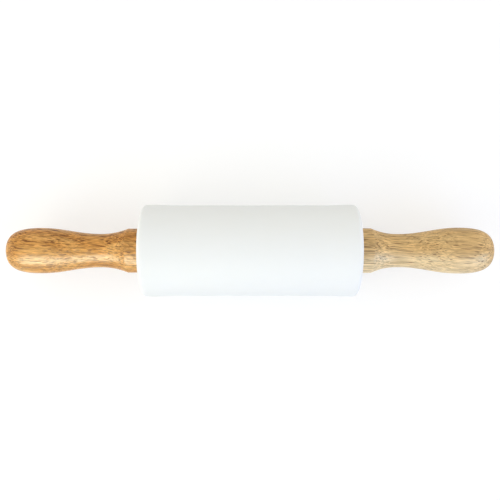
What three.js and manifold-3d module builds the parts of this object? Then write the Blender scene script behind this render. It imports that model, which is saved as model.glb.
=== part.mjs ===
// A small silicone rolling pin for clay and craft dough.
// A soft white sleeve is stretched over a stiff moulded tube. Ribbed plugs close the tube and carry plain
// bushes, in which the barrel turns on a steel rod. The rod's threaded ends hold two turned wooden handles.
//
// Millimetres, +Z up. The origin is on the pin's axis at the middle of the barrel, and +X runs along the
// axis to the right-hand handle.

import * as THREE from "three";
import { mergeVertices } from "three/addons/utils/BufferGeometryUtils.js";
import Module from "manifold-3d";

const wasm = await Module();
wasm.setup();

// Fits
const seatGap = 0.2; // between pieces that sit fast in or on each other
const endFloat = 0.3; // running gap on each side of a thrust washer
const runningGap = 0.1; // radial, between the turning bushes and the rod
const collarGap = 1.45; // radial, between the wider of the handles' collars and the sleeve's turning lip

// Silicone sleeve
const barrelLength = 100;
const barrelRadius = 21.3; // at the middle of the barrel
const endSwell = 0.3; // how far the ends stand proud of the middle
const endLand = 3; // straight band behind each rounded edge
const swellRun = 10; // length over which the swell fades into the middle
const edgeRadius = 2.2;
const sleeveWall = 2.5;
const lipThickness = 2.2; // the lips that turn in over the ends of the core
const lipEdgeRadius = 0.8;

// Core tube
const tubeWall = 2.5;
const tubeChamfer = 0.6;

// End plugs
const plugFlange = 2; // thickness of the disc that closes the tube
const plugChamfer = 0.5;
const skirtWall = 1.6;
const skirtDepth = 10;
const hubWall = 3.3;
const hubDepth = 12;
const plugRibs = 6;
const plugRibWidth = 1.5;
const plugRibDepth = 9;
const plugRibJoin = 0.8; // how far a rib runs into the walls that it joins

// Bearing bushes
const bushWall = 1.4;
const bushLength = 11;
const bushFlangeRadius = 7;
const bushFlange = 1;
const bushChamfer = 0.4;

// Thrust washers
const washerRadius = 6.5;
const washerThickness = 0.8;
const washerBoreGap = 0.15;

// Steel rod
const rodRadius = 3;
const rodChamfer = 0.3;
const shoulderStep = 0.5; // how much the thread is smaller than the rod
const threadLength = 22;
const threadChamfer = 0.6;
const reliefDepth = 0.4; // groove between the shoulder and the thread
const reliefLength = 1.2;

// Threaded inserts in the handles
const insertWall = 1.3;
const insertLength = 12;
const insertChamfer = 0.4;

// Turned handles
const handleLength = 64.5;
const collarChamfer = 0.6;
const waistRadius = 7.9;
const noseLength = 15.9;
const tipBoreGap = 0.4; // radial, round the end of the thread
const tipBoreSpare = 1.5; // depth past the end of the thread
const drillPoint = THREE.MathUtils.degToRad(59); // half the angle of the drill's tip

// Each handle is turned by hand, so the two differ a little. The right one is stouter, with a shorter collar.
const leftTurning = {
  collarRadius: 10.4,
  collarLength: 8.2,
  coveLength: 12.3,
  waistLength: 0.8,
  bulbRadius: 10.7,
};
const rightTurning = {
  collarRadius: 10.55,
  collarLength: 7.7,
  coveLength: 11.9,
  waistLength: 2.1,
  bulbRadius: 10.85,
};

// The nose is a superellipse: radius = bulb * (1 - share ^ noseFullness) ^ noseRoundness
const noseFullness = 2.55;
const noseRoundness = 0.28;

// How finely round things are drawn
const barrelSides = 40;
const handleSides = 40;
const smallSides = 32;
const edgeSteps = 5;
const lipEdgeSteps = 2;
const swellSteps = 3;
const coveSteps = 6;
const bulbSteps = 9;
const noseShares = [0, 0.3, 0.5, 0.65, 0.77, 0.86, 0.925, 0.97, 0.993, 1];

// Places along the axis, measured from the middle of the barrel
const barrelHalf = barrelLength / 2;
const lipInside = barrelHalf - lipThickness;
const plugFace = lipInside - seatGap;
const tubeHalf = plugFace - plugFlange - seatGap;
const handleFace = plugFace + endFloat + washerThickness + endFloat;
const rodShoulder = handleFace - seatGap;
const rodHalf = handleFace + threadLength;

// Radii that follow from the fits
const sleeveInside = barrelRadius - sleeveWall;
const tubeRadius = sleeveInside - seatGap;
const tubeBore = tubeRadius - tubeWall;
const skirtRadius = tubeBore - seatGap;
const lipHoleRadius = Math.max(leftTurning.collarRadius, rightTurning.collarRadius) + collarGap;
const bushBore = rodRadius + runningGap;
const bushRadius = bushBore + bushWall;
const hubBore = bushRadius + seatGap;
const hubRadius = hubBore + hubWall;
const flangeSeatRadius = bushFlangeRadius + seatGap;
const flangeSeatDepth = bushFlange + seatGap;
const threadRadius = rodRadius - shoulderStep;
const insertBore = threadRadius + seatGap;
const insertRadius = insertBore + insertWall;

// Materials, with the colours of the real surfaces
const silicone = new THREE.MeshStandardMaterial({ color: 0xf1f4f3, roughness: 0.55, metalness: 0 });
const orangeWood = new THREE.MeshStandardMaterial({ color: 0xc98f52, roughness: 0.4, metalness: 0 });
const paleWood = new THREE.MeshStandardMaterial({ color: 0xcfa672, roughness: 0.45, metalness: 0 });
const tubePlastic = new THREE.MeshStandardMaterial({ color: 0xe3e1da, roughness: 0.5, metalness: 0 });
const bearingPlastic = new THREE.MeshStandardMaterial({ color: 0xf4f1e6, roughness: 0.35, metalness: 0 });
const steel = new THREE.MeshStandardMaterial({ color: 0xb9bcc0, roughness: 0.3, metalness: 1 });
const brass = new THREE.MeshStandardMaterial({ color: 0xc9a24a, roughness: 0.35, metalness: 1 });

// One point of a turned profile: its radius, and its place along the axis of turning.
const at = (radius, along) => new THREE.Vector2(radius, along);

// Places from one end of a stretch to the other, both ends among them.
function evenly(from, to, steps) {
  return Array.from({ length: steps + 1 }, (_, step) => THREE.MathUtils.lerp(from, to, step / steps));
}

// Points of a round corner about a centre, from one angle to another, in degrees. Angle 0 points away from
// the axis and angle 90 along it.
function corner(centreRadius, centreAlong, radius, fromDegrees, toDegrees, steps) {
  return evenly(fromDegrees, toDegrees, steps).map((degrees) => {
    const angle = THREE.MathUtils.degToRad(degrees);
    return at(centreRadius + radius * Math.cos(angle), centreAlong + radius * Math.sin(angle));
  });
}

// Turns a profile about the Y axis. Half a step of turn puts a flat of the polygon, not a corner, lowest.
function turn(profile, sides) {
  return new THREE.LatheGeometry(profile, sides, Math.PI / sides, 2 * Math.PI);
}

// The same profile followed by its mirror image across the middle, as one closed loop.
function mirroredLoop(half) {
  const other = half.map((point) => at(point.x, -point.y)).reverse();
  return [...half, ...other, half[0].clone()];
}

// A closed geometry as a solid that can be joined to others.
function solidOf(geometry) {
  const bare = geometry.clone().deleteAttribute("normal").deleteAttribute("uv");
  const merged = mergeVertices(bare);
  return new wasm.Manifold(
    new wasm.Mesh({
      numProp: 3,
      vertProperties: merged.attributes.position.array,
      triVerts: new Uint32Array(merged.index.array),
    }),
  );
}

// A joined solid as geometry that can be shown.
function geometryOf(solid) {
  const { numProp, vertProperties, triVerts } = solid.getMesh();
  const corners = new THREE.InterleavedBuffer(vertProperties, numProp);
  return new THREE.BufferGeometry()
    .setAttribute("position", new THREE.InterleavedBufferAttribute(corners, 3, 0))
    .setIndex(new THREE.BufferAttribute(triVerts, 1))
    .toNonIndexed();
}

// The silicone sleeve: a thin tube, a little swollen towards its ends, with rounded edges and a lip turned in
// over each end of the core.
function sleeveProfile() {
  const endRadius = barrelRadius + endSwell;
  const lipFlat = lipHoleRadius + lipEdgeRadius;
  const landEnd = barrelHalf - edgeRadius;
  const landStart = landEnd - endLand;
  const swell = evenly(0, 1, swellSteps).map((share) => {
    const riseShare = (1 - Math.cos(Math.PI * share)) / 2;
    return at(barrelRadius + endSwell * riseShare, landStart - swellRun * (1 - share));
  });
  return mirroredLoop([
    ...swell,
    ...corner(endRadius - edgeRadius, landEnd, edgeRadius, 0, 90, edgeSteps),
    ...corner(lipFlat, barrelHalf - lipEdgeRadius, lipEdgeRadius, 90, 180, lipEdgeSteps),
    at(lipHoleRadius, lipInside),
    at(sleeveInside, lipInside),
  ]);
}

// The core tube: chamfered at the mouth of its bore, where the plugs go in.
function tubeProfile() {
  return mirroredLoop([
    at(tubeRadius, tubeHalf),
    at(tubeBore + tubeChamfer, tubeHalf),
    at(tubeBore, tubeHalf - tubeChamfer),
  ]);
}

// An end plug, its outer face at zero: a disc over the tube's end, with a skirt that fits the bore, a hub for
// the bush and a sunk seat for the bush's flange.
function plugProfile() {
  return [
    at(hubBore, -hubDepth),
    at(hubBore, -flangeSeatDepth),
    at(flangeSeatRadius, -flangeSeatDepth),
    at(flangeSeatRadius, 0),
    at(tubeRadius - plugChamfer, 0),
    at(tubeRadius, -plugChamfer),
    at(tubeRadius, -plugFlange),
    at(skirtRadius, -plugFlange),
    at(skirtRadius, -skirtDepth + plugChamfer),
    at(skirtRadius - plugChamfer, -skirtDepth),
    at(skirtRadius - skirtWall, -skirtDepth),
    at(skirtRadius - skirtWall, -plugFlange),
    at(hubRadius, -plugFlange),
    at(hubRadius, -hubDepth),
    at(hubBore, -hubDepth),
  ].reverse();
}

// The plug with its radial ribs, which stiffen the disc between hub and skirt.
function plugGeometry() {
  const ribInside = hubRadius - plugRibJoin;
  const ribOutside = skirtRadius - skirtWall + plugRibJoin;
  const ribHeight = plugRibDepth - plugFlange + plugRibJoin;
  const rib = new THREE.BoxGeometry(ribOutside - ribInside, ribHeight, plugRibWidth);
  rib.translate((ribInside + ribOutside) / 2, ribHeight / 2 - plugRibDepth, 0);
  let plug = solidOf(turn(plugProfile(), smallSides));
  for (let index = 0; index < plugRibs; index += 1) {
    const turned = rib.clone().rotateY((2 * Math.PI * index) / plugRibs);
    plug = plug.add(solidOf(turned));
  }
  return geometryOf(plug);
}

// A flanged bush, the outer face of its flange at zero.
function bushProfile() {
  return [
    at(bushBore, -bushLength),
    at(bushRadius - bushChamfer, -bushLength),
    at(bushRadius, -bushLength + bushChamfer),
    at(bushRadius, -bushFlange),
    at(bushFlangeRadius, -bushFlange),
    at(bushFlangeRadius, 0),
    at(bushBore + bushChamfer, 0),
    at(bushBore, -bushChamfer),
    at(bushBore, -bushLength),
  ];
}

// A flat washer, standing on zero.
function washerProfile() {
  const bore = rodRadius + washerBoreGap;
  return [
    at(bore, 0),
    at(washerRadius, 0),
    at(washerRadius, washerThickness),
    at(bore, washerThickness),
    at(bore, 0),
  ];
}

// The rod: a plain bearing length with a shoulder, a relief groove and a threaded end on each side.
function rodProfile() {
  const half = [
    at(rodRadius, rodShoulder - rodChamfer),
    at(rodRadius - rodChamfer, rodShoulder),
    at(threadRadius - reliefDepth, rodShoulder),
    at(threadRadius - reliefDepth, rodShoulder + reliefLength),
    at(threadRadius, rodShoulder + reliefLength + reliefDepth),
    at(threadRadius, rodHalf - threadChamfer),
    at(threadRadius - threadChamfer, rodHalf),
    at(0, rodHalf),
  ];
  const other = half.map((point) => at(point.x, -point.y)).reverse();
  return [...other, ...half];
}

// A threaded insert, its outer face at zero and its length into the handle.
function insertProfile() {
  return [
    at(insertBore, 0),
    at(insertRadius - insertChamfer, 0),
    at(insertRadius, insertChamfer),
    at(insertRadius, insertLength - insertChamfer),
    at(insertRadius - insertChamfer, insertLength),
    at(insertBore, insertLength),
    at(insertBore, 0),
  ];
}

// The outside radius of a handle at a place along it. Collar, then a parabolic cove down to the waist, then a
// cosine swell up to the bulb, then the superellipse of the nose.
function gripRadius(along, { collarRadius, collarLength, coveLength, waistLength, bulbRadius }) {
  const bulbAt = handleLength - noseLength;
  const swellStart = collarLength + coveLength + waistLength;
  const coveShare = (along - collarLength) / coveLength;
  const bulbShare = (along - swellStart) / (bulbAt - swellStart);
  const noseShare = (along - bulbAt) / noseLength;
  const swellShare = (1 - Math.cos(Math.PI * bulbShare)) / 2;
  if (coveShare <= 0) return collarRadius;
  if (coveShare < 1) return waistRadius + (collarRadius - waistRadius) * (1 - coveShare) ** 2;
  if (bulbShare <= 0) return waistRadius;
  if (bulbShare < 1) return waistRadius + (bulbRadius - waistRadius) * swellShare;
  return bulbRadius * (1 - Math.min(noseShare, 1) ** noseFullness) ** noseRoundness;
}

// A handle, its inner face at zero: the stepped blind bore from its drilled point outwards, the face, and the
// turned outside to the tip.
function handleProfile(turning) {
  const { collarRadius, collarLength, coveLength, waistLength } = turning;
  const bulbAt = handleLength - noseLength;
  const swellStart = collarLength + coveLength + waistLength;
  const seatRadius = insertRadius + seatGap;
  const seatDepth = insertLength + seatGap;
  const tipBore = threadRadius + tipBoreGap;
  const boreDepth = threadLength + tipBoreSpare;
  const places = [
    ...evenly(collarLength, collarLength + coveLength, coveSteps),
    ...evenly(swellStart, bulbAt, bulbSteps).slice(0, -1),
    ...noseShares.map((share) => bulbAt + noseLength * share),
  ];
  return [
    at(0, boreDepth + tipBore / Math.tan(drillPoint)),
    at(tipBore, boreDepth),
    at(tipBore, seatDepth),
    at(seatRadius, seatDepth),
    at(seatRadius, 0),
    at(collarRadius - collarChamfer, 0),
    at(collarRadius, collarChamfer),
    ...places.map((along) => at(gripRadius(along, turning), along)),
  ];
}

// One named piece of the pin, placed along the axis of the group that holds it.
function piece(name, geometry, material, along = 0) {
  const mesh = new THREE.Mesh(geometry, material);
  mesh.name = name;
  mesh.position.y = along;
  return mesh;
}

// Everything at one end of the pin, its axis along +Y, away from the barrel's middle.
function pinEnd(side, turning, wood) {
  const end = new THREE.Group();
  end.add(
    piece(`${side}_end_plug`, plugGeometry(), tubePlastic, plugFace),
    piece(`${side}_bush`, turn(bushProfile(), smallSides), bearingPlastic, plugFace),
    piece(`${side}_washer`, turn(washerProfile(), smallSides), bearingPlastic, plugFace + endFloat),
    piece(`${side}_insert`, turn(insertProfile(), smallSides), brass, handleFace),
    piece(`${side}_handle`, turn(handleProfile(turning), handleSides), wood, handleFace),
  );
  return end;
}

const leftEnd = pinEnd("left", leftTurning, orangeWood);
leftEnd.rotation.z = Math.PI / 2;
const rightEnd = pinEnd("right", rightTurning, paleWood);
rightEnd.rotation.z = -Math.PI / 2;

const middle = new THREE.Group();
middle.rotation.z = -Math.PI / 2;
middle.add(
  piece("silicone_sleeve", turn(sleeveProfile(), barrelSides), silicone),
  piece("core_tube", turn(tubeProfile(), barrelSides), tubePlastic),
  piece("axle_rod", turn(rodProfile(), smallSides), steel),
);

const rollingPin = new THREE.Group();
rollingPin.add(middle, leftEnd, rightEnd);

export default rollingPin;
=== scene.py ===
"""The looks of a small silicone rolling pin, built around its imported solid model.

The pin lies along X, its middle at the origin and +Z up, in metres. A white silicone barrel turns on a steel
rod between two turned wooden handles, a warm one on the left and a paler one on the right. Each piece is a
surface worked out on a grid: a profile of radii carried round the pin's axis, with any relief added as a
function of the place along the axis and the angle round it.
"""

import logging
import math
from dataclasses import dataclass, field
from enum import Enum
from typing import Callable

import bpy
import numpy as np
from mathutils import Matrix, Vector


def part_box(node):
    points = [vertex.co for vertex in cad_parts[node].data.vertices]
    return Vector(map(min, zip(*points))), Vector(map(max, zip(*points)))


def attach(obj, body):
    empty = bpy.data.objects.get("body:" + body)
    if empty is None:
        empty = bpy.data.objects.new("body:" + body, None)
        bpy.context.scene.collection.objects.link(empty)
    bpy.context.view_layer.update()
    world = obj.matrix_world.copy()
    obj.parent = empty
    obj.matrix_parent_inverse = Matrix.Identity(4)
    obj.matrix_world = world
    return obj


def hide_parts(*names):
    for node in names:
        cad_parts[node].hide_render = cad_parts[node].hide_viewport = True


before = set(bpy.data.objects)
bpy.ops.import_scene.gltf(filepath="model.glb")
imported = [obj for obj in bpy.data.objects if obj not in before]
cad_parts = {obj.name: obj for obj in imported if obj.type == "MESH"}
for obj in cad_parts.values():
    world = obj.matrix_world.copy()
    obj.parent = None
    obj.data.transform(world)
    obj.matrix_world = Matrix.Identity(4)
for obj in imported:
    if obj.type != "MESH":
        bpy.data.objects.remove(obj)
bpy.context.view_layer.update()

log = logging.getLogger("rolling_pin")

MM = 0.001
TURN = 2 * math.pi
WHITE = (1, 1, 1, 1)

# Points nearer to each other than this, in metres, are one point
SAME_PLACE = 1e-7

# The span in which most values of a noise lie, and a narrower one for more contrast
NOISE_SPAN = (0.3, 0.7)
TONE_SPAN = (0.35, 0.65)

# The Mix node's colour sockets, by number because its other kinds share their names
MIX_INPUTS = (0, 6, 7)
MIX_RESULT = 2

Colour = tuple[float, float, float]
Place = tuple[float, float, float]
Pair = tuple[float, float]
Relief = Callable[[np.ndarray, np.ndarray], np.ndarray]
Socket = bpy.types.NodeSocket
Value = Socket | float | tuple[float, ...]


class Body(str, Enum):
    """The two rigid bodies of the pin."""

    HANDLES = "handles"
    BARREL = "barrel"


class Slot(str, Enum):
    """The finishes that the pieces take, as the record names them."""

    SILICONE = "silicone"
    CORE_PLASTIC = "core_plastic"
    BEARING_PLASTIC = "bearing_plastic"
    ROD_STEEL = "rod_steel"
    INSERT_BRASS = "insert_brass"
    WARM_WOOD = "warm_wood"
    PALE_WOOD = "pale_wood"


class Side(Enum):
    """An end of the pin, as the direction in which it points along X."""

    LEFT = -1
    RIGHT = 1

    @property
    def word(self) -> str:
        """The side's name as the nodes spell it."""
        return self.name.lower()


# Profiles: rows of (radius, place along the axis), in metres


def arc(centre_radius: float, centre_along: float, radius: float, start: float, end: float,
        steps: int) -> np.ndarray:
    """A round corner: the centre plus radius times (cos, sin) of an angle that goes evenly from start to end.

    Args:
        centre_radius: distance of the corner's centre from the axis.
        centre_along: place of the centre along the axis.
        radius: the corner's radius.
        start: first angle in degrees; 0 points away from the axis and 90 along it.
        end: last angle in degrees.
        steps: steps between the two.

    Returns:
        Rows of (radius, along).
    """
    angle = np.radians(np.linspace(start, end, steps + 1))
    return np.column_stack([centre_radius + radius * np.cos(angle), centre_along + radius * np.sin(angle)])


def straight(start: Pair, end: Pair, steps: int = 1) -> np.ndarray:
    """Evenly spaced rows on the line from one (radius, along) point to another, both included."""
    return np.linspace(start, end, steps + 1)


def with_mirror_image(half: np.ndarray) -> np.ndarray:
    """A half profile followed by its mirror image across the middle, last row first, as one closed loop."""
    return np.vstack([half, half[::-1] * (1, -1)])


def without_repeats(profile: np.ndarray) -> np.ndarray:
    """The profile without rows that repeat the one before, the last row coming before the first."""
    apart = np.hypot(*(profile - np.roll(profile, 1, axis=0)).T) > SAME_PLACE
    return profile[apart]


# Meshes


def turned_mesh(name: str, profile: np.ndarray, sides: int, relief: Relief | None = None) -> bpy.types.Mesh:
    """A closed surface of turning about X.

    Point (i, j) has x = along[i], y = -r sin(angle[j]) and z = r cos(angle[j]), where r is radius[i] plus the
    relief at (along[i], angle[j]). A profile whose ends lie on the axis is closed by a fan at each end, and
    any other profile closes on itself.

    Args:
        name: the mesh's name.
        profile: rows of (radius, along), in metres.
        sides: how many steps go round the axis.
        relief: what is added to the radius, as a function of the along and angle grids.

    Returns:
        The mesh, with faces that point outwards and smooth shading.
    """
    rows = without_repeats(profile)
    poled = max(rows[0, 0], rows[-1, 0]) < SAME_PLACE
    rings = rows[1:-1] if poled else rows
    angle = np.arange(sides) * TURN / sides
    along, around = np.meshgrid(rings[:, 1], angle, indexing="ij")
    radius = np.repeat(rings[:, :1], sides, axis=1)
    if relief is not None:
        radius = radius + relief(along, around)
    points = np.stack([along, -radius * np.sin(around), radius * np.cos(around)], axis=-1).reshape(-1, 3)

    count = len(rings)
    index = np.arange(count * sides).reshape(count, sides)
    onward = index if poled else np.vstack([index, index[:1]])
    near, far = onward[:-1], onward[1:]
    ring_pairs = [near, far, np.roll(far, -1, axis=1), np.roll(near, -1, axis=1)]
    quads = np.stack(ring_pairs, axis=-1).reshape(-1, 4)
    fans = np.empty((0, 3), int)
    if poled:
        first, last = len(points), len(points) + 1
        points = np.vstack([points, [[rows[0, 1], 0, 0], [rows[-1, 1], 0, 0]]])
        fans = np.vstack([
            np.column_stack([np.full(sides, first), index[0], np.roll(index[0], -1)]),
            np.column_stack([np.full(sides, last), np.roll(index[-1], -1), index[-1]]),
        ])
    triangles = np.vstack([quads[:, [0, 1, 2]], quads[:, [0, 2, 3]], fans])
    corners = points[triangles]
    volume = np.einsum("ij,ij->i", corners[:, 0], np.cross(corners[:, 1], corners[:, 2])).sum()
    if volume < 0:
        quads, fans = quads[:, ::-1], fans[:, ::-1]
    mesh = bpy.data.meshes.new(name)
    mesh.from_pydata(points.tolist(), [], quads.tolist() + fans.tolist())
    mesh.polygons.foreach_set("use_smooth", np.ones(len(mesh.polygons), bool))
    mesh.update()
    return mesh


def triangle_wave(count: np.ndarray) -> np.ndarray:
    """A wave that falls evenly from 1 at each whole number to 0 halfway, and rises again."""
    return np.abs((count % 1) * 2 - 1)


def helix_relief(pitch: float, depth: float, start: float, end: float, runout: float) -> Relief:
    """A screw thread cut into a round surface.

    The cut is depth times a triangle wave of (along / pitch - angle / one turn), and it fades to nothing over
    the runout at each end of the threaded stretch.

    Args:
        pitch: distance between crests.
        depth: how deep the groove is; negative raises it instead.
        start: where the thread begins along the axis.
        end: where it ends.
        runout: the length over which it fades.

    Returns:
        The relief as a function of the along and angle grids.
    """
    low, high = min(start, end), max(start, end)

    def relief(along: np.ndarray, around: np.ndarray) -> np.ndarray:
        """The thread's relief at each point of the grid."""
        fade = np.clip(np.minimum(along - low, high - along) / runout, 0, 1)
        return -depth * triangle_wave(along / pitch - around / TURN) * fade

    return relief


def hand_of_work(depth: float, length: float, seed: int, count: int = 4) -> Relief:
    """The faint unevenness of a piece that was turned or moulded: a sum of slow waves along and around.

    Wave number k is sin(k * along / length, in turns) * cos((k + 1) * angle) / k, each part with a phase of
    its own. The sum is scaled and lowered so that it goes from nothing to twice the depth below the surface.

    Args:
        depth: half the way from the highest to the lowest place.
        length: the wavelength along the axis of the slowest wave.
        seed: picks the waves' phases.
        count: how many waves are added up.

    Returns:
        The relief as a function of the along and angle grids.
    """
    phases = np.random.default_rng(seed).uniform(0, TURN, (count, 2))

    def relief(along: np.ndarray, around: np.ndarray) -> np.ndarray:
        """The unevenness.

        Args:
            along: each point's place along the axis.
            around: its angle round the axis.

        Returns:
            What is added to the radius at each point.
        """
        waves = []
        for order, (one, two) in enumerate(phases, start=1):
            wave = np.sin(TURN * along * order / length + one) * np.cos((order + 1) * around + two)
            waves.append(wave / order)
        reach = sum(1 / order for order in range(1, count + 1))
        return depth * (np.sum(waves, axis=0) / reach - 1)

    return relief


# Materials


class Graph:
    """The node graph of a material or of the world, written as calls that take and return sockets."""

    def __init__(self, owner: bpy.types.Material | bpy.types.World) -> None:
        """Empties the owner's graph down to a lone output.

        Args:
            owner: the material or the world.
        """
        owner.use_nodes = True
        self.owner = owner
        self.tree = owner.node_tree
        self.tree.nodes.clear()
        kind = "World" if isinstance(owner, bpy.types.World) else "Material"
        self.output = self.tree.nodes.new(f"ShaderNodeOutput{kind}")

    @classmethod
    def of_material(cls, name: str) -> "Graph":
        """The graph of a new material."""
        return cls(bpy.data.materials.new(name))

    def node(self, kind: str, inputs: dict | None = None, **settings: object) -> bpy.types.Node:
        """Adds a node.

        Args:
            kind: the node's type, without the word ShaderNode.
            inputs: values or sockets by input name or number.
            settings: properties of the node.

        Returns:
            The node.
        """
        made = self.tree.nodes.new("ShaderNode" + kind)
        for key, value in settings.items():
            setattr(made, key, value)
        for key, value in (inputs or {}).items():
            if isinstance(value, Socket):
                self.tree.links.new(value, made.inputs[key])
            else:
                made.inputs[key].default_value = value
        return made

    def place(self) -> Socket:
        """The point on the piece in millimetres, in the pin's own frame."""
        return self.vector("MULTIPLY", self.node("TexCoord").outputs["Object"], (1 / MM, 1 / MM, 1 / MM))

    def vector(self, operation: str, a: Value, b: Value = (0, 0, 0)) -> Socket:
        """A vector sum, product, difference or length of a and b."""
        made = self.node("VectorMath", {0: a, 1: b}, operation=operation)
        return made.outputs["Value" if operation == "LENGTH" else "Vector"]

    def math(self, operation: str, a: Value, b: Value = 0.0) -> Socket:
        """A sum, product or other function of two numbers."""
        return self.node("Math", {0: a, 1: b}, operation=operation).outputs[0]

    def cells(self, place: Value, cell: Pair) -> Socket:
        """The place counted in cells of a length along the grain and a width across it, in millimetres."""
        along, across = cell
        return self.vector("MULTIPLY", place, (1 / along, 1 / across, 1 / across))

    def turned_to_end(self, place: Value) -> Socket:
        """The place seen along the grain: its Y and Z come first and X last."""
        parts = self.node("SeparateXYZ", {0: place}).outputs
        return self.node("CombineXYZ", {0: parts[1], 1: parts[2], 2: parts[0]}).outputs[0]

    def noise(self, place: Value, cell: Pair, detail: float = 2, roughness: float = 0.5) -> Socket:
        """Smooth noise around a half, with one swell to each cell of the place."""
        inputs = {"Vector": self.cells(place, cell), "Scale": 1, "Detail": detail, "Roughness": roughness}
        return self.node("TexNoise", inputs).outputs[0]

    def sway(self, place: Value, cell: Pair, reach: float) -> Socket:
        """The place moved across the grain by smooth noise.

        Args:
            place: the place to move.
            cell: the cell of the noise.
            reach: how far from one side to the other it may move.

        Returns:
            The moved place.
        """
        inputs = {"Vector": self.cells(place, cell), "Scale": 1, "Detail": 2}
        drift = self.node("TexNoise", inputs).outputs["Color"]
        centred = self.vector("SUBTRACT", drift, (0.5, 0.5, 0.5))
        return self.vector("ADD", place, self.vector("MULTIPLY", centred, (0, reach, reach)))

    def spread(self, value: Value, low: float, high: float, to_low: float = 0, to_high: float = 1) -> Socket:
        """The value carried smoothly from low..high to to_low..to_high and held there beyond."""
        inputs = {"Value": value, "From Min": low, "From Max": high, "To Min": to_low, "To Max": to_high}
        return self.node("MapRange", inputs, interpolation_type="SMOOTHSTEP").outputs[0]

    def ramp(self, value: Value, *stops: Pair) -> Socket:
        """A grey ramp.

        Args:
            value: where on the ramp, from 0 to 1.
            stops: the ramp's stops as (place, level).

        Returns:
            The level.
        """
        made = self.node("ValToRGB", {"Fac": value})
        elements = made.color_ramp.elements
        while len(elements) < len(stops):
            elements.new(0.5)
        for element, (at, level) in zip(elements, stops):
            element.position = at
            element.color = (level, level, level, 1)
        return made.outputs["Color"]

    def mix(self, share: Value, a: Value, b: Value, blend: str = "MIX") -> Socket:
        """Two colours mixed.

        Args:
            share: the share of b.
            a: a colour, or a socket that gives one or a grey.
            b: what is laid over it, likewise.
            blend: how the two are blended.

        Returns:
            The mixed colour.
        """
        made = self.node("Mix", data_type="RGBA", blend_type=blend)
        for number, value in zip(MIX_INPUTS, (share, a, b)):
            if isinstance(value, Socket):
                self.tree.links.new(value, made.inputs[number])
            else:
                made.inputs[number].default_value = (*value, 1) if isinstance(value, tuple) else value
        return made.outputs[MIX_RESULT]

    def bump(self, height: Value, depth: float) -> Socket:
        """Normals bent by a height from 0 to 1 that stands for a depth in metres."""
        return self.node("Bump", {"Height": height, "Distance": depth, "Strength": 1.0}).outputs["Normal"]

    def seen(self) -> Socket:
        """Tells the rays that show the surroundings from those that light the pin.

        Returns:
            1 for rays from the camera, from gloss and through glass, and 0 for the others.
        """
        path = self.node("LightPath").outputs
        gloss = self.math("MAXIMUM", path["Is Glossy Ray"], path["Is Transmission Ray"])
        return self.math("MAXIMUM", path["Is Camera Ray"], gloss)

    def close(self, surface: Socket) -> None:
        """Joins a shader to the output."""
        self.tree.links.new(surface, self.output.inputs["Surface"])

    def finish(self, **inputs: Value) -> bpy.types.Material:
        """Closes the graph with a surface shader.

        Args:
            inputs: the shader's inputs, with underscores for the spaces in their names.

        Returns:
            The material.
        """
        values = {key.replace("_", " "): value for key, value in inputs.items()}
        self.close(self.node("BsdfPrincipled", values).outputs[0])
        return self.owner


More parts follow.
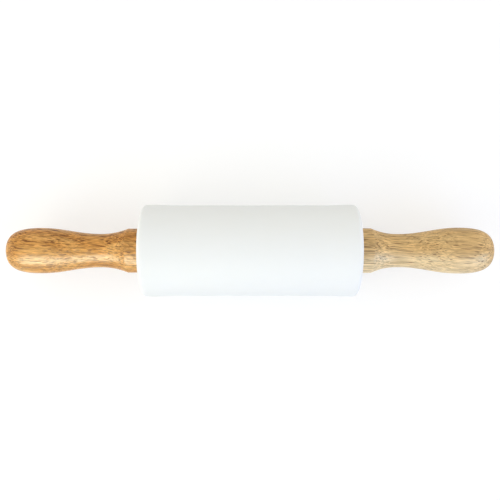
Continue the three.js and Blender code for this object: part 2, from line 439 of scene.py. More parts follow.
@dataclass(frozen=True)
class Wood:
    """Turned rubberwood: growth bands about a far pith, fibres, and short dark vessels along the grain.

    Lengths are in millimetres. A cell is a length along the grain and a width across it, and a span or an
    edge is the stretch of values over which a pattern goes from nothing to its most. Because the bands and
    vessels fill the solid, the turned shape cuts them into long dashes where it runs with the grain and into
    dots and arcs where it swells.
    """

    name: str
    light: Colour
    dark: Colour
    band: Colour
    pore: Colour
    streak_contrast: float
    vessel_radius: float
    fine_share: float
    # How much the vessels fade on the user's side: partly paler sapwood, partly a painted highlight
    sap_and_highlight_fade: float
    seed: float
    # Tints multiplied into the wood across the handle: darker on the far side and paler towards the user,
    # partly heartwood and sapwood, partly painted shade and painted light
    heart_and_shade_tint: Colour = (0.86, 0.82, 0.8)
    sap_and_light_tint: Colour = (1, 1, 1)
    sap_and_lit_reach: float = 8
    sap_and_lit_middle: float = 0
    pith: Place = (0, 6, -46)
    band_width: float = 3.4
    band_share: float = 0.4
    band_drift: float = 1.3
    band_stops: tuple[Pair, ...] = ((0, 0.4), (0.2, 0), (0.75, 0.9), (0.85, 1), (1, 0.4))
    tilt: Place = (0, 0.02, 0.05)
    wander: float = 2.2
    wander_cell: Pair = (38, 16)
    ripple: float = 0.7
    ripple_cell: Pair = (9, 3.5)
    drift_cell: Pair = (26, 7)
    patch_cell: Pair = (30, 6)
    patch_span: Pair = (0.32, 0.68)
    streak_cell: Pair = (15, 1.1)
    fibre_cell: Pair = (5, 0.4)
    fibre_contrast: float = 0.24
    fibre_height: float = 0.2
    vessel_run: float = 3.2
    vessel_spacing: float = 0.62
    vessel_swell: Pair = (0.75, 1.2)
    vessel_edge: Pair = (1.15, 0.75)
    break_width: float = 0.8
    break_span: Pair = (0.5, 0.56)
    fine_scale: float = 0.6
    pore_depth: float = 0.03
    pore_roughness: float = 0.2
    roughness: float = 0.29
    roughness_drift: Pair = (-0.05, 0.07)
    refraction: float = 1.5
    specular: float = 0.2

    def build(self) -> bpy.types.Material:
        """Makes the wood's material.

        Returns:
            The material.
        """
        g = Graph.of_material(self.name)
        mapping = {"Vector": g.place(), "Rotation": self.tilt, "Location": (self.seed, 0, 0)}
        grain = g.sway(g.node("Mapping", mapping).outputs[0], self.wander_cell, self.wander)
        tubes = g.sway(grain, self.ripple_cell, self.ripple)
        band = self.bands(g, grain)
        sap_and_lit_side = self.sap_and_lit_side(g, grain)
        fibres = g.noise(tubes, self.fibre_cell, detail=3, roughness=0.6)
        pores = self.pores(g, tubes, band)
        wood = self.colour(g, grain, tubes, band, fibres)
        # Partly painted light and shade, partly real sapwood: the wood is tinted paler on the user's lit side
        # and darker on the far side
        tinted = g.mix(1, wood, g.mix(sap_and_lit_side, self.heart_and_shade_tint, self.sap_and_light_tint), "MULTIPLY")
        # Vessels fade towards the lit side: partly paler sapwood, partly a painted highlight that washes them
        # out
        share = g.math("MULTIPLY", pores, g.spread(sap_and_lit_side, 0, 1, 1, 1 - self.sap_and_highlight_fade))
        colour = g.mix(share, tinted, self.pore)

        height = g.math("SUBTRACT", g.math("MULTIPLY", fibres, self.fibre_height), pores)
        rough = g.math("ADD", g.spread(fibres, *NOISE_SPAN, *self.roughness_drift), self.roughness)
        rough = g.math("ADD", rough, g.math("MULTIPLY", pores, self.pore_roughness))
        return g.finish(Base_Color=colour, Roughness=rough, Normal=g.bump(height, self.pore_depth * MM),
                        IOR=self.refraction, Specular_IOR_Level=self.specular)

    def bands(self, g: Graph, grain: Socket) -> Socket:
        """Growth bands, counted by the distance from the pith over the width of a band.

        Args:
            g: the material's graph.
            grain: the place in the wood.

        Returns:
            How dark the year's growth is, from 0 to 1.
        """
        across = g.vector("MULTIPLY", g.vector("SUBTRACT", grain, self.pith), (0, 1, 1))
        drift = g.math("MULTIPLY", g.noise(grain, self.drift_cell, detail=3), self.band_drift)
        rings = g.math("ADD", g.math("DIVIDE", g.vector("LENGTH", across), self.band_width), drift)
        return g.ramp(g.math("FRACT", rings), *self.band_stops)

    def sap_and_lit_side(self, g: Graph, grain: Socket) -> Socket:
        """How far a place lies towards the user's side, from 0 to 1: partly sapwood and partly painted light,
        as the lamps face that side.
        """
        across = g.node("SeparateXYZ", {0: grain}).outputs[1]
        return g.spread(across, self.sap_and_lit_middle + self.sap_and_lit_reach, self.sap_and_lit_middle - self.sap_and_lit_reach)

    def colour(self, g: Graph, grain: Socket, tubes: Socket, band: Socket, fibres: Socket) -> Socket:
        """The wood's colour without its vessels: patches, growth bands, streaks and fibres.

        Args:
            g: the material's graph.
            grain: the place in the wood.
            tubes: the place with the grain's ripple added.
            band: how dark the growth band is.
            fibres: the noise of the fibres.

        Returns:
            The colour.
        """
        patches = g.spread(g.noise(grain, self.patch_cell, detail=3), *self.patch_span)
        colour = g.mix(patches, self.light, self.dark)
        colour = g.mix(g.math("MULTIPLY", band, self.band_share), colour, self.band)
        streaks = g.noise(tubes, self.streak_cell, detail=1)
        for value, contrast in ((streaks, self.streak_contrast), (fibres, self.fibre_contrast)):
            tone = g.spread(value, *TONE_SPAN, 1 - contrast, 1 + contrast)
            colour = g.mix(1, colour, tone, "MULTIPLY")
        return colour

    def pores(self, g: Graph, tubes: Socket, band: Socket) -> Socket:
        """The bold vessels and, fainter, a set of fine ones between them."""
        bold, fine = (self.vessels(g, tubes, band, scale) for scale in (1, self.fine_scale))
        return g.math("MAXIMUM", bold, g.math("MULTIPLY", fine, self.fine_share))

    def vessels(self, g: Graph, tubes: Socket, band: Socket, scale: float) -> Socket:
        """Vessels: thin tubes along the grain, thicker where a growth band is dark, and broken in places.

        Args:
            g: the material's graph.
            tubes: the place in the wood, rippled as the vessels are.
            band: how dark the growth band is, from 0 to 1.
            scale: the vessels' size and spacing, where 1 is that of the bold ones.

        Returns:
            1 inside a vessel and 0 outside.
        """
        spacing, radius = self.vessel_spacing * scale, self.vessel_radius * scale
        cells = g.turned_to_end(g.cells(tubes, (1, spacing)))
        voronoi = g.node("TexVoronoi", {"Vector": cells, "Scale": 1}, voronoi_dimensions="2D")
        thin, thick = (radius / spacing * swell for swell in self.vessel_swell)
        reach = g.spread(band, 0, 1, thin, thick)
        inside = g.spread(g.math("DIVIDE", voronoi.outputs["Distance"], reach), *self.vessel_edge)
        breaks = g.noise(tubes, (self.vessel_run, spacing * self.break_width), detail=0)
        return g.math("MULTIPLY", inside, g.spread(breaks, *self.break_span))


@dataclass(frozen=True)
class Silicone:
    """Matt white moulded silicone, a little translucent, with a fine moulded grain and faint mottling.

    Lengths are in millimetres.
    """

    name: str
    colour: Colour
    shade: Colour
    roughness: float
    roughness_drift: Pair = (-0.04, 0.06)
    mottle_cell: Pair = (14, 9)
    grain_cell: Pair = (0.35, 0.35)
    wipe_cell: Pair = (40, 5)
    grain_depth: float = 0.012
    glow_depth: float = 1.2
    glow_reach: Colour = (1, 0.95, 0.9)
    glow_share: float = 0.25
    refraction: float = 1.4
    specular: float = 0.12

    def build(self) -> bpy.types.Material:
        """Makes the silicone's material.

        Returns:
            The material.
        """
        g = Graph.of_material(self.name)
        place = g.place()
        mottle = g.noise(place, self.mottle_cell, detail=4, roughness=0.6)
        grain = g.noise(place, self.grain_cell, detail=3, roughness=0.7)
        wipe = g.noise(place, self.wipe_cell)
        colour = g.mix(g.spread(mottle, *TONE_SPAN), self.colour, self.shade)
        rough = g.math("ADD", g.spread(wipe, *NOISE_SPAN, *self.roughness_drift), self.roughness)
        return g.finish(Base_Color=colour, Roughness=rough, Normal=g.bump(grain, self.grain_depth * MM),
                        IOR=self.refraction, Specular_IOR_Level=self.specular,
                        Subsurface_Weight=self.glow_share, Subsurface_Radius=self.glow_reach,
                        Subsurface_Scale=self.glow_depth * MM)


@dataclass(frozen=True)
class Plastic:
    """Moulded plastic with faint flow marks and a fine spark-eroded grain. Lengths are in millimetres."""

    name: str
    colour: Colour
    shade: Colour
    roughness: float
    roughness_drift: Pair = (-0.04, 0.06)
    flow_cell: Pair = (3, 8)
    grain_cell: Pair = (0.2, 0.2)
    grain_depth: float = 0.01
    refraction: float = 1.49

    def build(self) -> bpy.types.Material:
        """Makes the plastic's material.

        Returns:
            The material.
        """
        g = Graph.of_material(self.name)
        place = g.place()
        flow = g.noise(place, self.flow_cell, detail=3)
        grain = g.noise(place, self.grain_cell, roughness=0.7)
        colour = g.mix(g.spread(flow, *NOISE_SPAN), self.colour, self.shade)
        rough = g.math("ADD", g.spread(grain, *NOISE_SPAN, *self.roughness_drift), self.roughness)
        return g.finish(Base_Color=colour, Roughness=rough, Normal=g.bump(grain, self.grain_depth * MM),
                        IOR=self.refraction)


@dataclass(frozen=True)
class Metal:
    """Drawn or turned metal: fine tool rings round the axis and faint stains. Lengths are in millimetres."""

    name: str
    colour: Colour
    stain: Colour
    roughness: float
    roughness_drift: Pair = (-0.06, 0.08)
    ring_cell: Pair = (0.05, 6)
    ring_depth: float = 0.004
    stain_cell: Pair = (5, 2)
    stain_span: Pair = (0.45, 0.75)

    def build(self) -> bpy.types.Material:
        """Makes the metal's material.

        Returns:
            The material.
        """
        g = Graph.of_material(self.name)
        place = g.place()
        rings = g.noise(place, self.ring_cell)
        stains = g.noise(place, self.stain_cell, detail=4)
        colour = g.mix(g.spread(stains, *self.stain_span), self.colour, self.stain)
        rough = g.math("ADD", g.spread(rings, *NOISE_SPAN, *self.roughness_drift), self.roughness)
        return g.finish(Base_Color=colour, Roughness=rough, Metallic=1.0,
                        Normal=g.bump(rings, self.ring_depth * MM))


@dataclass
class Palette:
    """The finishes of the pin, made once and shared."""

    silicone: Silicone = Silicone(
        "silicone", colour=(0.87, 0.885, 0.88), shade=(0.865, 0.88, 0.873), roughness=0.66)
    core_plastic: Plastic = Plastic(
        "core_plastic", colour=(0.77, 0.75, 0.69), shade=(0.72, 0.7, 0.64), roughness=0.5)
    bearing_plastic: Plastic = Plastic(
        "bearing_plastic", colour=(0.86, 0.84, 0.75), shade=(0.8, 0.78, 0.7), roughness=0.35)
    rod_steel: Metal = Metal(
        "rod_steel", colour=(0.55, 0.56, 0.58), stain=(0.36, 0.35, 0.34), roughness=0.3)
    insert_brass: Metal = Metal(
        "insert_brass", colour=(0.6, 0.43, 0.15), stain=(0.4, 0.26, 0.09), roughness=0.32)
    warm_wood: Wood = Wood(
        "warm_wood", light=(0.79, 0.45, 0.147), dark=(0.67, 0.32, 0.075), band=(0.56, 0.24, 0.048),
        pore=(0.08, 0.012, 0.001), streak_contrast=0.15, vessel_radius=0.225, fine_share=0.55, sap_and_highlight_fade=0.35,
        seed=210)
    pale_wood: Wood = Wood(
        "pale_wood", light=(0.86, 0.64, 0.345), dark=(0.81, 0.57, 0.28), band=(0.72, 0.48, 0.22),
        pore=(0.115, 0.042, 0.01), streak_contrast=0.12, vessel_radius=0.135, fine_share=0.4, sap_and_highlight_fade=0.5,
        seed=240, heart_and_shade_tint=(0.76, 0.69, 0.58), sap_and_light_tint=(1.03, 1.18, 1.48), sap_and_lit_middle=-2.3,
        pith=(0, -10, -60), band_width=2.6, band_share=0.35, tilt=(0, -0.03, 0.06), ripple=0.35,
        fibre_cell=(11, 0.45), vessel_run=10, roughness=0.42)
    made: dict[Slot, bpy.types.Material] = field(default_factory=dict)

    def of(self, slot: Slot) -> bpy.types.Material:
        """The material of a slot, made the first time that it is asked for.

        Args:
            slot: the slot.

        Returns:
            Its material.
        """
        if slot not in self.made:
            self.made[slot] = getattr(self, slot.value).build()
        return self.made[slot]


# The pieces


@dataclass
class Piece:
    """One turned piece that stands for a solid node.

    Where the surface turns by more than the sharp angle, in degrees, it is shaded as an edge.
    """

    name: str
    node: str
    body: Body
    slot: Slot
    profile: np.ndarray
    sides: int = 96
    relief: Relief | None = None
    sharp: float = 35

    def build(self, palette: Palette) -> None:
        """Makes the piece's mesh, dresses it and hangs it on its body in place of its node.

        Args:
            palette: the pin's finishes.
        """
        mesh = turned_mesh(self.name, self.profile, self.sides, self.relief)
        mesh.set_sharp_from_angle(angle=math.radians(self.sharp))
        mesh.materials.append(palette.of(self.slot))
        made = bpy.data.objects.new(self.name, mesh)
        bpy.context.scene.collection.objects.link(made)
        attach(made, self.body.value)
        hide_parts(self.node)
        log.info("%s: %d faces, on %s", self.name, len(mesh.polygons), self.body.value)


def dress_node(node: str, material: bpy.types.Material) -> None:
    """Gives a solid node that stays in view a material, through its object's slots.

    Args:
        node: the node's name.
        material: its material.
    """
    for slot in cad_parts[node].material_slots:
        slot.material = material
    log.info("%s: kept as it is, in %s", node, material.name)


@dataclass
class Barrel:
    """The turning part: a silicone sleeve over a plastic tube, closed by ribbed plugs that carry the bushes.

    Here and in the handles and the axle, lengths are in metres and steps count the rows along a profile.
    """

    wall: float = 2.5 * MM
    end_swell: float = 0.3 * MM
    end_land: float = 3 * MM
    swell_run: float = 10 * MM
    swell_steps: int = 24
    middle_steps: int = 16
    edge_radius: float = 2.2 * MM
    edge_steps: int = 16
    lip_thickness: float = 2.2 * MM
    lip_hole_radius: float = 12 * MM
    lip_edge_radius: float = 0.8 * MM
    lip_steps: int = 8
    sleeve_sides: int = 256
    sleeve_sharp: float = 60
    tube_wall: float = 2.5 * MM
    tube_chamfer: float = 0.6 * MM
    tube_sides: int = 128
    running_gap: float = 0.1 * MM
    bush_wall: float = 1.4 * MM
    bush_edge: float = 0.3 * MM
    bush_flange: float = 1 * MM
    bush_steps: int = 6
    unevenness: float = 0.007 * MM
    unevenness_length: float = 90 * MM
    seed: int = 3

    def sleeve_profile(self) -> np.ndarray:
        """The sleeve's section: swollen ends, rounded edges, the lip, and the bore that grips the tube.

        The swell is half a cosine wave from the barrel's middle radius up to its end radius.

        Returns:
            Rows of (radius, along).
        """
        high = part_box("silicone_sleeve")[1]
        half, end_radius = high.x, high.z
        land_end = half - self.edge_radius
        land_start = land_end - self.end_land
        share = np.linspace(0, 1, self.swell_steps + 1)
        swell = np.column_stack([end_radius - self.end_swell * (1 + np.cos(math.pi * share)) / 2,
                                 land_start - self.swell_run * (1 - share)])
        inside = end_radius - self.end_swell - self.wall
        lip_flat, lip_back = self.lip_hole_radius + self.lip_edge_radius, half - self.lip_thickness
        middle_radius, swell_start = swell[0]
        return with_mirror_image(np.vstack([
            straight((middle_radius, 0), (middle_radius, swell_start), self.middle_steps),
            swell,
            arc(end_radius - self.edge_radius, land_end, self.edge_radius, 0, 90, self.edge_steps),
            arc(lip_flat, half - self.lip_edge_radius, self.lip_edge_radius, 90, 180, self.lip_steps),
            [[self.lip_hole_radius, lip_back], [inside, lip_back]],
        ]))

    def tube_profile(self) -> np.ndarray:
        """The core tube's section, chamfered at the mouths of its bore.

        Returns:
            Rows of (radius, along).
        """
        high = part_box("core_tube")[1]
        bore, edge = high.z - self.tube_wall, self.tube_chamfer
        return with_mirror_image(np.array([
            [high.z, 0], [high.z, high.x], [bore + edge, high.x], [bore, high.x - edge], [bore, 0],
        ]))

    def bush_profile(self, side: Side) -> np.ndarray:
        """A flanged bush's section, its running bore a little wider than the rod.

        Args:
            side: the end of the pin.

        Returns:
            Rows of (radius, along).
        """
        low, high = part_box(f"{side.word}_bush")
        outer, inner = (high.x, low.x) if side is Side.RIGHT else (low.x, high.x)
        sign = side.value
        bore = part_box("axle_rod")[1].z + self.running_gap
        body = bore + self.bush_wall
        flange_back = outer - sign * self.bush_flange
        edge, steps = self.bush_edge, self.bush_steps
        return np.vstack([
            [[bore, inner]],
            arc(body - edge, inner + sign * edge, edge, -90 * sign, 0, steps),
            [[body, flange_back]],
            arc(high.z - edge, flange_back + sign * edge, edge, -90 * sign, 0, steps),
            arc(high.z - edge, outer - sign * edge, edge, 0, 90 * sign, steps),
            [[bore + edge, outer], [bore, outer - sign * edge]],
        ])

    def build(self, palette: Palette) -> None:
        """Builds and dresses the barrel's pieces.

        Args:
            palette: the pin's finishes.
        """
        waves = hand_of_work(self.unevenness, self.unevenness_length, self.seed)
        Piece("sleeve_skin", "silicone_sleeve", Body.BARREL, Slot.SILICONE, self.sleeve_profile(),
              self.sleeve_sides, waves, self.sleeve_sharp).build(palette)
        Piece("core_tube_fine", "core_tube", Body.BARREL, Slot.CORE_PLASTIC, self.tube_profile(),
              self.tube_sides).build(palette)
        for side in Side:
            Piece(f"{side.word}_flanged_bush", f"{side.word}_bush", Body.BARREL, Slot.BEARING_PLASTIC,
                  self.bush_profile(side)).build(palette)
            dress_node(f"{side.word}_end_plug", palette.of(Slot.CORE_PLASTIC))


@dataclass
class Handle:
    """A turned wooden handle with its brass insert and its thrust washer.

    The grip's radius along its length is a collar, a parabola down to the waist, half a cosine wave up to the
    bulb, and a nose on the superellipse (radius / bulb) ^ (1 / roundness) + share ^ fullness = 1, where share
    is the distance from the bulb over the nose's length.
    """

    side: Side
    slot: Slot
    collar_radius: float
    collar_length: float
    cove_length: float
    waist_length: float
    bulb_radius: float
    seed: int
    waist_radius: float = 7.9 * MM
    nose_length: float = 15.9 * MM
    nose_fullness: float = 2.55
    nose_roundness: float = 0.28
    face_chamfer: float = 0.6 * MM
    face_steps: int = 6
    chamfer_steps: int = 8
    collar_steps: int = 12
    cove_steps: int = 32
    swell_steps: int = 48
    nose_steps: int = 56
    grip_sides: int = 192
    grip_sharp: float = 30
    seat_gap: float = 0.2 * MM
    bore_depth: float = 23.5 * MM
    bore_radius: float = 2.9 * MM
    drill_point: float = math.radians(59)
    unevenness: float = 0.035 * MM
    unevenness_length: float = 34 * MM
    even_radius: float = 6 * MM
    even_fade: float = 2 * MM
    insert_wall: float = 1.3 * MM
    insert_chamfer: float = 0.4 * MM
    thread_pitch: float = 0.8 * MM
    thread_rise: float = 0.12 * MM
    thread_steps: int = 120
    knurl_depth: float = 0.25 * MM
    knurls: int = 24
    knurl_steps: int = 72
    insert_sides: int = 192
    washer_gap: float = 0.15 * MM
    washer_edge: float = 0.15 * MM
    washer_steps: int = 4

    def grip_profile(self) -> np.ndarray:
        """The grip's section from the bottom of its bore, over the face and along the outside to the tip.

        Returns:
            Rows of (radius, along).
        """
        low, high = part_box(f"{self.side.word}_handle")
        face, tip = (low.x, high.x) if self.side is Side.RIGHT else (high.x, low.x)
        length = abs(tip - face)
        insert_low, insert_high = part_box(f"{self.side.word}_insert")
        seat_radius = insert_high.z + self.seat_gap
        seat_depth = insert_high.x - insert_low.x + self.seat_gap
        waist_at = self.collar_length + self.cove_length
        swell_at = waist_at + self.waist_length
        bulb_at = length - self.nose_length

        share = np.linspace(0, 1, self.cove_steps + 1)
        fall = (self.collar_radius - self.waist_radius) * (1 - share) ** 2
        cove = np.column_stack([self.waist_radius + fall, self.collar_length + self.cove_length * share])
        share = np.linspace(0, 1, self.swell_steps + 1)
        rise = (self.bulb_radius - self.waist_radius) * (1 - np.cos(math.pi * share)) / 2
        swell = np.column_stack([self.waist_radius + rise, swell_at + (bulb_at - swell_at) * share])
        turn = (1 - (1 - np.linspace(0, 1, self.nose_steps + 1)) ** 2) * math.pi / 2
        nose = np.column_stack([self.bulb_radius * np.cos(turn) ** (2 * self.nose_roundness),
                                bulb_at + self.nose_length * np.sin(turn) ** (2 / self.nose_fullness)])
        nose[-1] = (0, length)
        collar, edge, bore = self.collar_radius, self.face_chamfer, self.bore_radius
        rows = np.vstack([
            [[0, self.bore_depth + bore / math.tan(self.drill_point)], [bore, self.bore_depth]],
            [[bore, seat_depth], [seat_radius, seat_depth], [seat_radius, 0]],
            straight((seat_radius, 0), (collar - edge, 0), self.face_steps),
            arc(collar - edge, edge, edge, -90, 0, self.chamfer_steps),
            straight((collar, edge), (collar, self.collar_length), self.collar_steps),
            cove, swell, nose,
        ])
        rows[:, 1] = face + self.side.value * rows[:, 1]
        return rows

    def grip_relief(self) -> Relief:
        """Unevenness left by turning and sanding by hand, which fades out towards the bore and the tip.

        Returns:
            The relief as a function of the along and angle grids.
        """
        waves = hand_of_work(self.unevenness, self.unevenness_length, self.seed)
        rings = without_repeats(self.grip_profile())[1:-1]
        share = np.clip((rings[:, :1] - self.even_radius) / self.even_fade, 0, 1)

        def relief(along: np.ndarray, around: np.ndarray) -> np.ndarray:
            """The unevenness at each point of the grid, never above the turned size."""
            return share * waves(along, around)

        return relief

    def insert_profile(self) -> np.ndarray:
        """The insert's section: a sleeve with chamfered ends, fine enough along its length for knurls.

        Returns:
            Rows of (radius, along).
        """
        low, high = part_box(f"{self.side.word}_insert")
        bore, edge = high.z - self.insert_wall, self.insert_chamfer
        return np.vstack([
            straight((bore, low.x), (high.z - edge, low.x)),
            straight((high.z, low.x + edge), (high.z, high.x - edge), self.knurl_steps),
            straight((high.z - edge, high.x), (bore, high.x)),
            straight((bore, high.x), (bore, low.x), self.thread_steps)[1:-1],
        ])

    def insert_relief(self) -> Relief:
        """Two crossed helices of grooves on the outside of the insert, and the screw thread in its bore.

        A helix is a triangle wave of (angle plus or minus along / radius) over the angle between grooves. The
        cut is the depth times twice the amount by which the larger of the two waves passes a half.

        Returns:
            The relief as a function of the along and angle grids.
        """
        low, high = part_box(f"{self.side.word}_insert")
        thread = helix_relief(self.thread_pitch, -self.thread_rise, low.x, high.x, self.thread_pitch)
        outside = without_repeats(self.insert_profile())[:, :1] > high.z - self.insert_wall / 2
        reach = TURN / self.knurls

        def relief(along: np.ndarray, around: np.ndarray) -> np.ndarray:
            """Knurls outside and thread inside.

            Args:
                along: each point's place along the axis.
                around: its angle round the axis.

            Returns:
                What is added to the radius at each point.
            """
            twist = along / high.z
            one, two = triangle_wave((around + twist) / reach), triangle_wave((around - twist) / reach)
            flat = (along > low.x + self.insert_chamfer) & (along < high.x - self.insert_chamfer)
            knurl = -self.knurl_depth * np.maximum(np.maximum(one, two) - 0.5, 0) * 2 * flat
            return np.where(outside, knurl, thread(along, around))

        return relief

    def washer_profile(self) -> np.ndarray:
        """The thrust washer's section, its edges softened.

        Returns:
            Rows of (radius, along).
        """
        low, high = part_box(f"{self.side.word}_washer")
        bore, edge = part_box("axle_rod")[1].z + self.washer_gap, self.washer_edge
        corners = (
            (high.z - edge, low.x + edge, -90), (high.z - edge, high.x - edge, 0),
            (bore + edge, high.x - edge, 90), (bore + edge, low.x + edge, 180),
        )
        return np.vstack([
            arc(radius, along, edge, start, start + 90, self.washer_steps) for radius, along, start in corners
        ])

    def build(self, palette: Palette) -> None:
        """Builds and dresses the handle's pieces.

        Args:
            palette: the pin's finishes.
        """
        word = self.side.word
        Piece(f"{word}_grip", f"{word}_handle", Body.HANDLES, self.slot, self.grip_profile(),
              self.grip_sides, self.grip_relief(), self.grip_sharp).build(palette)
        Piece(f"{word}_knurled_insert", f"{word}_insert", Body.HANDLES, Slot.INSERT_BRASS,
              self.insert_profile(), self.insert_sides, self.insert_relief()).build(palette)
        Piece(f"{word}_thrust_washer", f"{word}_washer", Body.HANDLES, Slot.BEARING_PLASTIC,
              self.washer_profile()).build(palette)


@dataclass
class Axle:
    """The steel rod, with a shoulder, a relief groove and a screw thread at each end."""

    shoulder_step: float = 0.5 * MM
    edge: float = 0.3 * MM
    middle_steps: int = 8
    groove_depth: float = 0.4 * MM
    groove_length: float = 1.2 * MM
    tip_chamfer: float = 0.6 * MM
    thread_length: float = 22.2 * MM
    thread_pitch: float = 0.8 * MM
    thread_depth: float = 0.45 * MM
    thread_runout: float = 1.2 * MM
    thread_end_gap: float = 0.3 * MM
    thread_steps: int = 360
    sides: int = 64
    sharp: float = 60

    def profile(self) -> np.ndarray:
        """The rod's section from tip to tip, with many rows along each thread.

        Returns:
            Rows of (radius, along).
        """
        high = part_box("axle_rod")[1]
        radius, tip = high.z, high.x
        thread = radius - self.shoulder_step
        groove = thread - self.groove_depth
        shoulder = tip - self.thread_length
        groove_end = shoulder + self.groove_length + self.groove_depth
        half = np.vstack([
            straight((radius, 0), (radius, shoulder - self.edge), self.middle_steps),
            [[radius - self.edge, shoulder], [groove, shoulder], [groove, shoulder + self.groove_length]],
            straight((thread, groove_end), (thread, tip - self.tip_chamfer), self.thread_steps),
            [[thread - self.tip_chamfer, tip], [0, tip]],
        ])
        return np.vstack([half[::-1] * (1, -1), half])

    def relief(self) -> Relief:
        """The right-hand thread at both ends.

        Returns:
            The relief as a function of the along and angle grids.
        """
        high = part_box("axle_rod")[1]
        start = high.x - self.thread_length + self.groove_length + self.groove_depth
        end = high.x - self.thread_end_gap
        right, left = (
            helix_relief(self.thread_pitch, self.thread_depth, sign * start, sign * end, self.thread_runout)
            for sign in (1, -1)
        )

        def relief(along: np.ndarray, around: np.ndarray) -> np.ndarray:
            """The sum of the two threads, each of which is nothing beyond its own end."""
            return right(along, around) + left(along, around)

        return relief

    def build(self, palette: Palette) -> None:
        """Builds and dresses the rod."""
        Piece("threaded_rod", "axle_rod", Body.HANDLES, Slot.ROD_STEEL, self.profile(), self.sides,
              self.relief(), self.sharp).build(palette)


# The studio


@dataclass(frozen=True)
class Lamp:
    """A rectangular lamp that faces the pin and doesn't show to the camera.

    Its radiance is how bright its face is in each colour, where 1 is the white of the background. Its power
    is pi times its area times the strongest part of the radiance, and its colour is the radiance over that.
    """

    name: str
    place: Place
    size: Pair
    radiance: Colour
    gloss_only: bool = False

    def hang(self) -> None:
        """Makes the lamp and turns it towards the pin."""
        strength = max(self.radiance)
        lamp = bpy.data.lights.new(self.name, "AREA")
        lamp.shape = "RECTANGLE"
        lamp.size, lamp.size_y = self.size
        lamp.energy = strength * math.pi * lamp.size * lamp.size_y
        lamp.color = [part / strength for part in self.radiance]
        hung = bpy.data.objects.new(self.name, lamp)
        hung.location = self.place
        hung.rotation_euler = (-Vector(self.place)).to_track_quat("-Z", "Y").to_euler()
        hung.visible_camera = False
        hung.visible_diffuse = not self.gloss_only
        bpy.context.scene.collection.objects.link(hung)
        log.info("lamp %s: radiance %s", self.name, self.radiance)


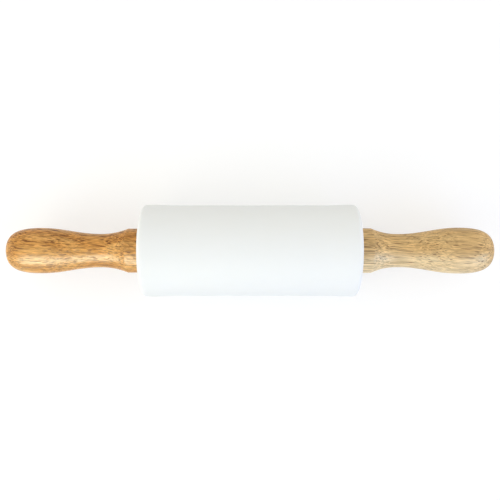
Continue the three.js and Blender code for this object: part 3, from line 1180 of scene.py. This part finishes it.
@dataclass
class Studio:
    """A pale floor under the pin, soft light from the user's side and all round, and the camera overhead.

    Lengths are in metres, apart from the floor's cell and the film's width, which are in millimetres.
    """

    camera_height: float = 0.285
    camera_shift: float = 0.28 * MM
    camera_near: float = 0.01
    pixels_per_metre: float = 2122
    picture_width: int = 500
    film_width: float = 36
    floor_half: float = 3
    floor_colour: Colour = (0.72, 0.72, 0.72)
    floor_shade: Colour = (0.6, 0.6, 0.61)
    floor_cell: Pair = (60, 60)
    floor_mottle: float = 0.3
    floor_glow: float = 0.45
    shadow_grey: Colour = (0.58, 0.58, 0.58)
    ambient: Colour = (0.905, 0.895, 0.85)
    lamps: tuple[Lamp, ...] = (
        Lamp("left_window", (-0.42, -0.34, 0.32), (0.4, 0.5), (1.25, 1.3, 1.1)),
        Lamp("right_window", (0.38, -0.34, 0.32), (0.4, 0.5), (0.05, 0.25, 0.95)),
        Lamp("card", (-0.2, -0.5, 0.37), (0.62, 0.5), (22.5, 25, 20.5), gloss_only=True),
        Lamp("right_card", (0.52, -0.42, 0.3), (0.5, 0.34), (10, 16, 19), gloss_only=True),
        Lamp("left_end", (-0.42, 0, 0.05), (0.3, 0.12), (1.7, 1.7, 1.8)),
        Lamp("right_end", (0.42, 0, 0.05), (0.3, 0.12), (1.4, 1.5, 1.8)),
    )

    def build(self) -> None:
        """Builds the floor, the world, the lamps and the camera."""
        self.lay_floor()
        self.light_world()
        for lamp in self.lamps:
            lamp.hang()
        self.place_camera()
        bpy.context.scene.view_settings.view_transform = "Standard"

    def lay_floor(self) -> None:
        """A flat floor that looks white to the camera and in reflections, and still takes the pin's shadow.

        Its underside is clear, so that the pin can be looked at from below.
        """
        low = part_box("silicone_sleeve")[0].z
        reach = self.floor_half
        corners = [(-reach, -reach, low), (reach, -reach, low), (reach, reach, low), (-reach, reach, low)]
        mesh = bpy.data.meshes.new("floor")
        mesh.from_pydata(corners, [], [(0, 1, 2, 3)])
        floor = bpy.data.objects.new("floor", mesh)
        bpy.context.scene.collection.objects.link(floor)
        g = Graph.of_material("floor")
        grain = g.noise(g.place(), self.floor_cell, detail=3)
        mottle = g.spread(grain, *NOISE_SPAN, 0, self.floor_mottle)
        colour = g.mix(mottle, self.floor_colour, self.floor_shade)
        plain = g.node("BsdfDiffuse", {"Color": colour}).outputs[0]
        lit = g.node("BsdfDiffuse", {"Color": (*self.shadow_grey, 1)}).outputs[0]
        glow = g.node("Emission", {"Color": WHITE, "Strength": self.floor_glow}).outputs[0]
        pale = g.node("AddShader", {0: lit, 1: glow}).outputs[0]
        top = g.node("MixShader", {0: g.seen(), 1: plain, 2: pale}).outputs[0]
        clear = g.node("BsdfTransparent").outputs[0]
        under = g.node("NewGeometry").outputs["Backfacing"]
        g.close(g.node("MixShader", {0: under, 1: top, 2: clear}).outputs[0])
        mesh.materials.append(g.owner)

    def light_world(self) -> None:
        """An even world that lights the pin softly and looks white to the camera and in reflections."""
        world = bpy.data.worlds.new("studio")
        bpy.context.scene.world = world
        g = Graph(world)
        soft = g.node("Background", {"Color": (*self.ambient, 1)}).outputs[0]
        white = g.node("Background", {"Color": WHITE}).outputs[0]
        g.close(g.node("MixShader", {0: g.seen(), 1: soft, 2: white}).outputs[0])

    def place_camera(self) -> None:
        """A camera straight above the pin's middle, close enough to give the picture's strong perspective.

        The lens is the film's width times the height over the width of what the picture shows at the axis.
        """
        camera = bpy.data.cameras.new("camera")
        camera.sensor_width = self.film_width
        shown = self.picture_width / self.pixels_per_metre
        camera.lens = self.film_width * self.camera_height / shown
        camera.clip_start = self.camera_near
        holder = bpy.data.objects.new("camera", camera)
        holder.location = (0, self.camera_shift, self.camera_height)
        bpy.context.scene.collection.objects.link(holder)
        bpy.context.scene.camera = holder


def main() -> None:
    """Builds the pin's sub-assemblies in order, then the studio around them."""
    logging.basicConfig(level=logging.INFO, format="%(name)s: %(message)s")
    palette = Palette()
    Barrel().build(palette)
    Handle(Side.LEFT, Slot.WARM_WOOD, collar_radius=10.4 * MM, collar_length=8.2 * MM,
           cove_length=12.3 * MM, waist_length=0.8 * MM, bulb_radius=10.7 * MM, seed=11).build(palette)
    Handle(Side.RIGHT, Slot.PALE_WOOD, collar_radius=10.55 * MM, collar_length=7.7 * MM,
           cove_length=11.9 * MM, waist_length=2.1 * MM, bulb_radius=10.85 * MM, seed=12).build(palette)
    Axle().build(palette)
    Studio().build()


if __name__ == "__main__":
    main()
